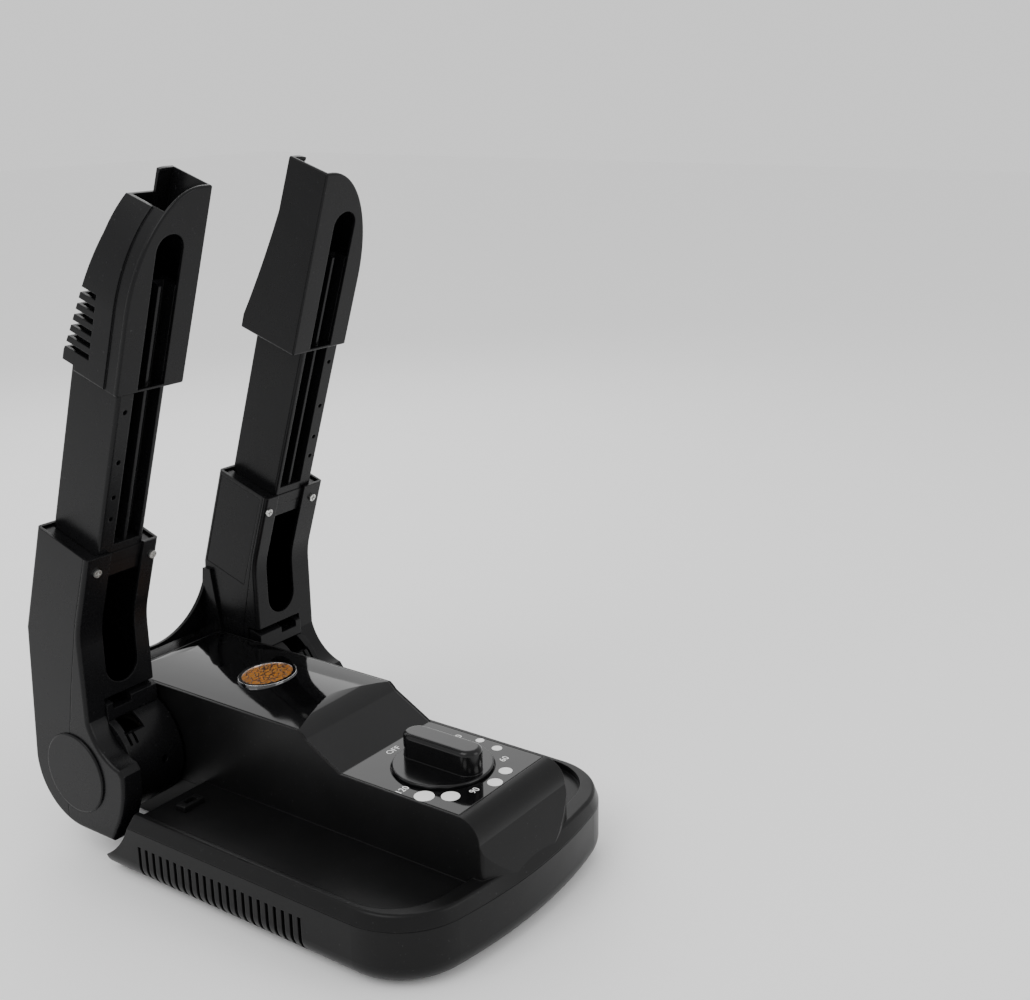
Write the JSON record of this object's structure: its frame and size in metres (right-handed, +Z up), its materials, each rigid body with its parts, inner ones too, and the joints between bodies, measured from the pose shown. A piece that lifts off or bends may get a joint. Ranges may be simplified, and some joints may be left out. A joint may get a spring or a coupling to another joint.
{
  "type": "boot dryer",
  "caption": "Electric boot dryer: flat base with trays, a centre hump with a timer dial, and a fold-up frame of two telescoping air tubes with nozzles.",
  "frame": {"origin": "on the table plane under the base, midway between its sides", "axes": "+Z up, -Y towards the timer end, +Y towards the hinge end, +X towards the right-hand arm"},
  "size_m": [0.208, 0.3342, 0.4217],
  "materials": {
    "gloss_black": "high gloss moulded",
    "chrome_trim": "polished",
    "badge_orange": "lacquered",
    "knob_black": "satin gloss",
    "zinc_steel": "zinc plated",
    "black_rubber": "matt",
    "motor_steel": "plated",
    "heater_metal": "plain",
    "heat_plastic": "glass-filled, matt",
    "inner_plastic": "matt",
    "base_black": "satin moulded",
    "arm_black": "satin moulded"
  },
  "bodies": {
    "base": {"air_manifold": "heat_plastic", "badge_insert": "badge_orange", "badge_ring": "chrome_trim", "base_screws": "zinc_steel", "blower_lid": "inner_plastic", "blower_scroll": "inner_plastic", "centre_cover": "gloss_black", "cord_inlet_bush": "black_rubber", "cross_tube": "heat_plastic", "fan_motor": "motor_steel", "heater_frame": "heat_plastic", "heater_strips": "heater_metal", "lower_housing": "base_black", "pivot_clip_left": "zinc_steel", "pivot_clip_right": "zinc_steel", "rubber_feet": "black_rubber", "terminal_block": "inner_plastic", "thermal_cutout": "heater_metal", "timer_body": "inner_plastic", "tray_catch_left": "base_black", "tray_catch_right": "base_black", "upper_housing": "base_black"},
    "arms": {"arm_front_shell_left": "arm_black", "arm_front_shell_right": "arm_black", "arm_rear_shell_left": "arm_black", "arm_rear_shell_right": "arm_black", "arm_side_panel_left": "arm_black", "arm_side_panel_right": "arm_black", "cover_screws_left": "zinc_steel", "cover_screws_right": "zinc_steel", "hinge_barrel_left": "arm_black", "hinge_barrel_right": "arm_black", "hinge_cap_left": "arm_black", "hinge_cap_right": "arm_black", "hinge_sill_left": "arm_black", "hinge_sill_right": "arm_black", "rear_bridge": "arm_black", "sleeve_collar_left": "arm_black", "sleeve_collar_right": "arm_black"},
    "tube_left": {"boot_nozzle_left": "arm_black", "slide_tube_left": "arm_black"},
    "tube_right": {"boot_nozzle_right": "arm_black", "slide_tube_right": "arm_black"},
    "knob": {"timer_knob": "knob_black", "timer_shaft": "zinc_steel"},
    "fan": {"fan_impeller": "inner_plastic", "motor_shaft": "zinc_steel"}
  },
  "joints": [
    {"name": "arm_fold", "type": "hinge", "parent": "base", "child": "arms", "pos_m": [0, 0.1265, 0.0588], "axis": [1, 0, 0], "range_deg": [0, 71.7]},
    {"name": "left_tube_slide", "type": "slide", "parent": "arms", "child": "tube_left", "axis": [0, -0.314, 0.9494], "range_m": [-0.08, 0]},
    {"name": "right_tube_slide", "type": "slide", "parent": "arms", "child": "tube_right", "axis": [0, -0.314, 0.9494], "range_m": [-0.08, 0]},
    {"name": "timer_turn", "type": "hinge", "parent": "base", "child": "knob", "pos_m": [0, -0.0835, 0.0804], "axis": [0, 0, 1], "range_deg": [-273.7, 0]},
    {"name": "fan_spin", "type": "hinge", "parent": "base", "child": "fan", "pos_m": [0, 0.03, 0.0394], "axis": [0, 0, 1], "continuous": true}
  ]
}
